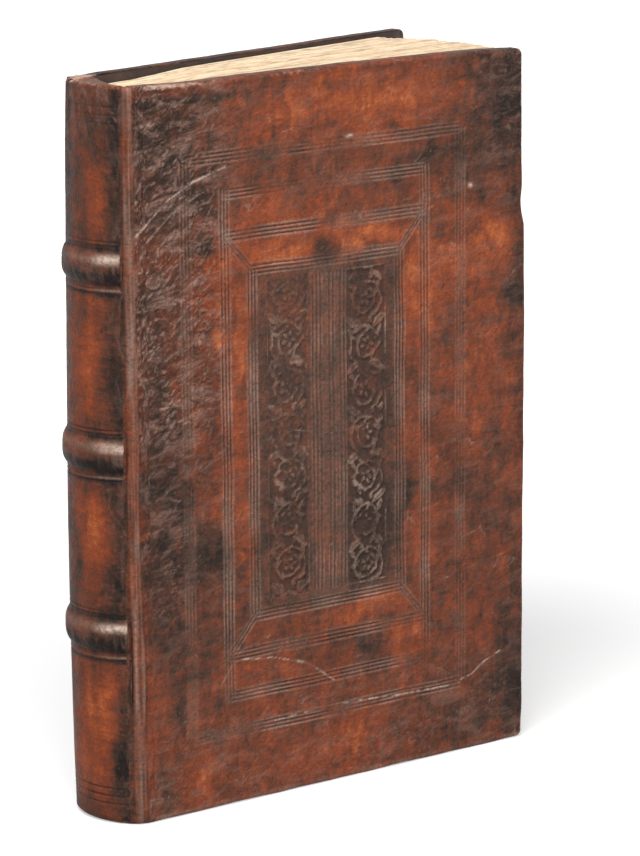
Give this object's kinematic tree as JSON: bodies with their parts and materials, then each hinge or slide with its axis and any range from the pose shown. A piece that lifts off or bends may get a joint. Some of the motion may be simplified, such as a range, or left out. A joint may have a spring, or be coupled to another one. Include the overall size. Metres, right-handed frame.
{
  "type": "antique leather book",
  "caption": "Upright old book: wooden boards in worn brown leather with blind-tooled frames, a ribbed round spine, fanned cream leaves and two hinged covers.",
  "frame": {"origin": "bottom centre of the book's box as it stands on its tail edge, on the surface that it rests on", "axes": "+Z from tail to head, +X from spine to fore-edge, -Y towards the front cover"},
  "size_m": [0.1956, 0.075, 0.28],
  "materials": {
    "leaves": "matt",
    "pastedown_paper": "matt",
    "lining_paper": "matt",
    "leather": "worn, half gloss",
    "board_wood": "bare",
    "peg_wood": "bare",
    "cord": "matt",
    "thread": "matt"
  },
  "bodies": {
    "book_block": {"text_block": "leaves", "spine_leather": "leather", "sewing_support_1": "cord", "sewing_support_2": "cord", "sewing_support_3": "cord", "spine_lining_1": "lining_paper", "spine_lining_2": "lining_paper", "spine_lining_3": "lining_paper", "spine_lining_4": "lining_paper", "endband_core_head": "cord", "endband_core_tail": "cord", "endband_thread_head": "thread", "endband_thread_tail": "thread"},
    "front_cover": {"front_board": "board_wood", "front_leather": "leather", "front_pastedown": "pastedown_paper", "front_cord_slips": "cord", "front_lacing_pegs": "peg_wood"},
    "rear_cover": {"rear_board": "board_wood", "rear_leather": "leather", "rear_pastedown": "pastedown_paper", "rear_cord_slips": "cord", "rear_lacing_pegs": "peg_wood"}
  },
  "joints": [
    {"name": "front_cover_hinge", "type": "hinge", "parent": "book_block", "child": "front_cover", "pos_m": [-0.08397, -0.0205, 0.14], "axis": [0, 0, -1], "range_deg": [0, 150]},
    {"name": "rear_cover_hinge", "type": "hinge", "parent": "book_block", "child": "rear_cover", "pos_m": [-0.08397, 0.0205, 0.14], "axis": [0, 0, 1], "range_deg": [0, 150]}
  ]
}
